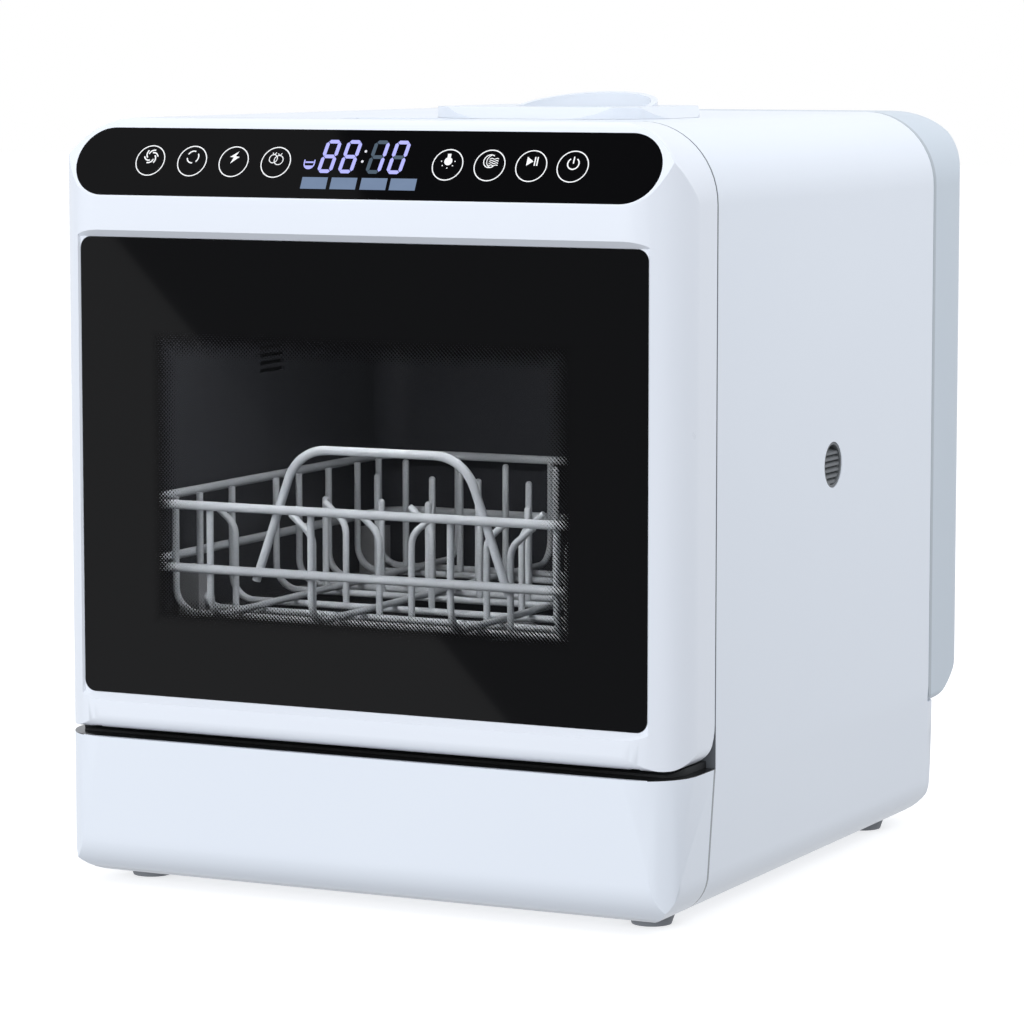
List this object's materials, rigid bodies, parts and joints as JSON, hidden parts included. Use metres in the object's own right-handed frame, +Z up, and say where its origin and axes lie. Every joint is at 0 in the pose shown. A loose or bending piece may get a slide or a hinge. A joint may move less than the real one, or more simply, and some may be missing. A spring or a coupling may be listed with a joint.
{
  "type": "countertop dishwasher",
  "caption": "Countertop dishwasher with a drop-down black glass door, tilted touch strip, wire rack that rides out with the door, spray arms and a top filling port",
  "frame": {"origin": "centre of the bounding box, on the table plane under the feet", "axes": "+X to the right seen from the door, -Y out of the door, +Z up"},
  "size_m": [0.42, 0.48, 0.4894],
  "materials": {
    "white_gloss": "glossy",
    "white_matt": "satin",
    "rubber_dark": "matt",
    "seal_grey": "matt",
    "steel": "satin",
    "grey_plastic": "satin",
    "tub_grey": "satin",
    "natural_plastic": "satin",
    "arm_grey": "satin",
    "tank_clear": "frosted",
    "board_green": "satin",
    "wheel_white": "satin",
    "fan_black": "satin",
    "glass_black": "glossy",
    "glass_clear": "glossy",
    "wire_coated": "glossy"
  },
  "bodies": {
    "case": {"outer_shell": "white_gloss", "base_pan": "white_matt", "rubber_feet": "rubber_dark", "case_screws": "steel", "rear_cover": "white_gloss", "rear_cover_screws": "steel", "fill_collar": "white_gloss", "fill_strainer": "steel", "fill_duct": "natural_plastic", "water_tank": "tank_clear", "tank_hose": "rubber_dark", "vent_grille": "grey_plastic", "exhaust_duct": "natural_plastic", "tub": "tub_grey", "door_seal": "seal_grey", "hinge_brackets": "steel", "slot_strip": "rubber_dark", "door_lock": "grey_plastic", "lamp_lens": "tank_clear", "lamp_board": "board_green", "sump": "natural_plastic", "filter_plate": "steel", "heater": "steel", "wash_pump_case": "natural_plastic", "wash_pump_motor": "grey_plastic", "feed_pipe": "natural_plastic", "lower_arm_post": "natural_plastic", "lower_arm_cap": "grey_plastic", "upper_arm_post": "natural_plastic", "upper_arm_cap": "grey_plastic", "drain_pump": "grey_plastic", "drain_hose": "rubber_dark", "drain_spigot": "wheel_white", "inlet_valve": "wheel_white", "cord_gland": "rubber_dark", "power_board": "board_green", "fan_case": "grey_plastic"},
    "door": {"door_frame": "white_gloss", "door_glass": "glass_black", "door_liner": "white_matt", "inner_glass": "glass_clear", "control_strip": "glass_black", "touch_board": "board_green", "display_module": "wheel_white", "liner_screws": "steel", "hinge_pins": "steel", "door_hook": "grey_plastic"},
    "rack": {"rack_rails": "wire_coated", "rack_cross_wires": "wire_coated", "rack_long_wires": "wire_coated", "rack_handle": "wire_coated", "plate_tines": "wire_coated", "cup_hooks": "wire_coated", "rack_runners": "white_matt"},
    "lower_arm": {"lower_spray_arm": "arm_grey"},
    "upper_arm": {"upper_spray_arm": "arm_grey"},
    "filter": {"filter_cup": "natural_plastic"},
    "wash_wheel": {"wash_pump_wheel": "wheel_white"},
    "drain_wheel": {"drain_pump_wheel": "wheel_white"},
    "fan": {"fan_wheel": "fan_black"}
  },
  "joints": [
    {"name": "door_hinge", "type": "hinge", "parent": "case", "child": "door", "pos_m": [0, -0.226, 0.1115], "axis": [1, 0, 0], "range_deg": [0, 90]},
    {"name": "rack_slide", "type": "slide", "parent": "case", "child": "rack", "axis": [0, -1, 0], "range_m": [0, 0.0976]},
    {"name": "lower_arm_spin", "type": "hinge", "parent": "case", "child": "lower_arm", "pos_m": [0, -0.015, 0.134], "axis": [0, 0, 1], "continuous": true},
    {"name": "upper_arm_spin", "type": "hinge", "parent": "case", "child": "upper_arm", "pos_m": [0, -0.015, 0.431], "axis": [0, 0, 1], "continuous": true},
    {"name": "filter_twist", "type": "hinge", "parent": "case", "child": "filter", "pos_m": [0.084, -0.015, 0.1], "axis": [0, 0, 1], "range_deg": [0, 60]},
    {"name": "wash_pump_spin", "type": "hinge", "parent": "case", "child": "wash_wheel", "pos_m": [-0.06, -0.015, 0.051], "axis": [1, 0, 0], "continuous": true},
    {"name": "drain_pump_spin", "type": "hinge", "parent": "case", "child": "drain_wheel", "pos_m": [0.14, -0.015, 0.051], "axis": [1, 0, 0], "continuous": true},
    {"name": "fan_spin", "type": "hinge", "parent": "case", "child": "fan", "pos_m": [-0.195, -0.01, 0.32], "axis": [1, 0, 0], "continuous": true}
  ],
  "couplings": [
    {"joint": "rack_slide", "follows": "door_hinge", "m_per_rad": 0.062}
  ]
}
